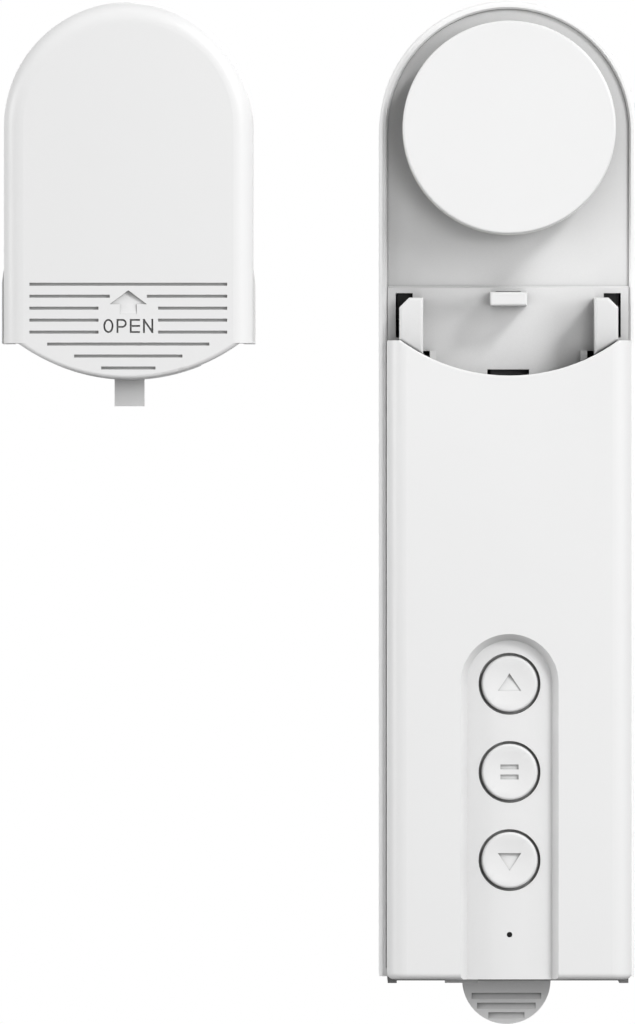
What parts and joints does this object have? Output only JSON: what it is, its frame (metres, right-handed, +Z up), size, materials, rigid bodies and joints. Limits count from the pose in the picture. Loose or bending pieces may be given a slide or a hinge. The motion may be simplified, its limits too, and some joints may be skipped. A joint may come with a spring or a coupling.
{
  "type": "roller blind bead chain motor",
  "caption": "Slim wall mounted motor that turns a roller blind's bead chain, with push buttons, a chain wheel and a chain cover shown taken off beside it.",
  "frame": {"origin": "middle of the wall bracket's two screw holes, on the wall plane", "axes": "+Z up along the body, +Y into the wall, so the front with the buttons faces -Y; +X to the right of someone facing the front"},
  "size_m": [0.0973, 0.098, 0.1597],
  "materials": {
    "white_shell": "fine satin moulded",
    "white_keys": "satin moulded",
    "white_disc": "satin moulded",
    "grey_lever": "satin moulded",
    "pom_white": "slippery moulded",
    "black_moulding": "moulded",
    "steel": "turned",
    "bronze": "turned",
    "motor_steel": "black zinc plated",
    "motor_black": "moulded",
    "cell_sleeve": "shrink sleeved",
    "nickel": "nickel plated",
    "board_green": "solder masked",
    "switch_black": "moulded",
    "lamp_white": "moulded",
    "smoked_lens": "dark clear moulded",
    "white_rubber": "soft moulded"
  },
  "bodies": {
    "wall_bracket": {"wall_bracket": "white_shell", "lever_pin": "steel"},
    "housing": {"rear_housing": "white_shell", "deck_plate": "white_shell", "front_shell": "white_shell", "main_board": "board_green", "tact_switches": "switch_black", "usb_port": "nickel", "radio_module": "nickel", "status_led": "lamp_white", "led_lens": "smoked_lens", "battery_cell_left": "cell_sleeve", "battery_cell_right": "cell_sleeve", "battery_tray": "black_moulding", "battery_tabs": "nickel", "motor_can": "motor_steel", "motor_end_bell": "motor_black", "gearbox_case": "black_moulding", "gearbox_lid": "black_moulding", "gearbox_screws": "steel", "idler_pin": "steel", "rear_bush": "bronze", "front_bush": "bronze", "case_screws": "steel"},
    "release_lever": {"release_lever": "grey_lever"},
    "output": {"chain_sprocket": "pom_white", "sprocket_cap": "white_disc", "hub_screw": "steel", "output_shaft": "steel", "output_gear": "pom_white"},
    "idler": {"worm_wheel": "pom_white", "idler_pinion": "pom_white"},
    "motor_rotor": {"motor_shaft": "steel", "worm": "bronze"},
    "up_button": {"up_button": "white_keys"},
    "pause_button": {"pause_button": "white_keys"},
    "down_button": {"down_button": "white_keys"},
    "port_flap": {"port_flap": "white_rubber"},
    "chain_cover": {"chain_cover": "white_shell"}
  },
  "joints": [
    {"name": "housing_lift", "type": "slide", "parent": "wall_bracket", "child": "housing", "axis": [0, 0, 1], "range_m": [0, 0.014]},
    {"name": "release_press", "type": "hinge", "parent": "wall_bracket", "child": "release_lever", "pos_m": [0, -0.0047, -0.04], "axis": [1, 0, 0], "range_deg": [0, 5], "stiffness_Nm_per_rad": 0.05, "springref_deg": -5.73},
    {"name": "wheel_turn", "type": "hinge", "parent": "housing", "child": "output", "pos_m": [0, -0.03875, 0.062], "axis": [0, 1, 0], "continuous": true},
    {"name": "idler_turn", "type": "hinge", "parent": "housing", "child": "idler", "pos_m": [-0.007, -0.0187, 0.04412], "axis": [0, 1, 0], "continuous": true},
    {"name": "motor_turn", "type": "hinge", "parent": "housing", "child": "motor_rotor", "pos_m": [0.004, -0.0162, 0.04412], "axis": [0, 0, 1], "continuous": true},
    {"name": "up_press", "type": "slide", "parent": "housing", "child": "up_button", "axis": [0, 1, 0], "range_m": [0, 0.0006], "stiffness_N_per_m": 600, "springref_m": -0.0002},
    {"name": "pause_press", "type": "slide", "parent": "housing", "child": "pause_button", "axis": [0, 1, 0], "range_m": [0, 0.0006], "stiffness_N_per_m": 600, "springref_m": -0.0002},
    {"name": "down_press", "type": "slide", "parent": "housing", "child": "down_button", "axis": [0, 1, 0], "range_m": [0, 0.0006], "stiffness_N_per_m": 600, "springref_m": -0.0002},
    {"name": "flap_open", "type": "hinge", "parent": "housing", "child": "port_flap", "pos_m": [-0.0074, -0.037, -0.06893], "axis": [1, 0, 0], "range_deg": [0, 100]},
    {"name": "cover_slide", "type": "slide", "parent": "housing", "child": "chain_cover", "axis": [0, 0, 1], "range_m": [0, 0.0061]}
  ],
  "couplings": [
    {"joint": "idler_turn", "follows": "wheel_turn", "ratio": -2.4286},
    {"joint": "motor_turn", "follows": "wheel_turn", "ratio": -21.857}
  ]
}
